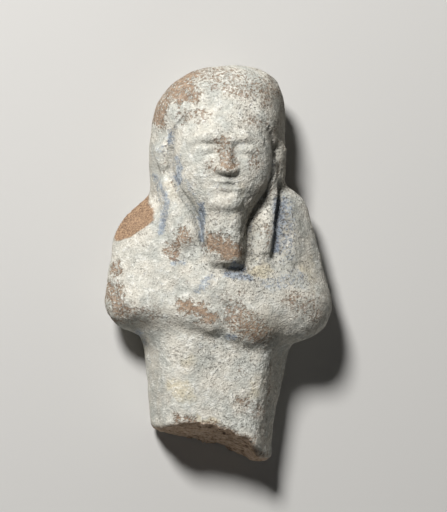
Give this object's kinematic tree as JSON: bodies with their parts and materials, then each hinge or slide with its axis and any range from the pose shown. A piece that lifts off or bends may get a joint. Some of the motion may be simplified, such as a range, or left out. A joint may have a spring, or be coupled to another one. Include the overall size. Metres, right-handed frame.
{
  "type": "ushabti figurine",
  "caption": "Moulded and carved ancient funerary figurine with wig, beard and folded arms, broken off across the thighs, lying on its back.",
  "frame": {"origin": "a point on the flat that the back rests on, under the middle of the figure's width at about elbow height", "axes": "+Y from the break toward the crown of the head, +Z out of the face and chest, up from the table as it lies; +X toward the figure's own left side"},
  "size_m": [0.0421, 0.0738, 0.0228],
  "materials": {
    "worn_body": "matt, worn and pitted, with pale glaze remains over an orange-brown body and traces of blue in the hollows"
  },
  "bodies": {
    "root": {"ushabti_figure": "worn_body"}
  },
  "joints": []
}
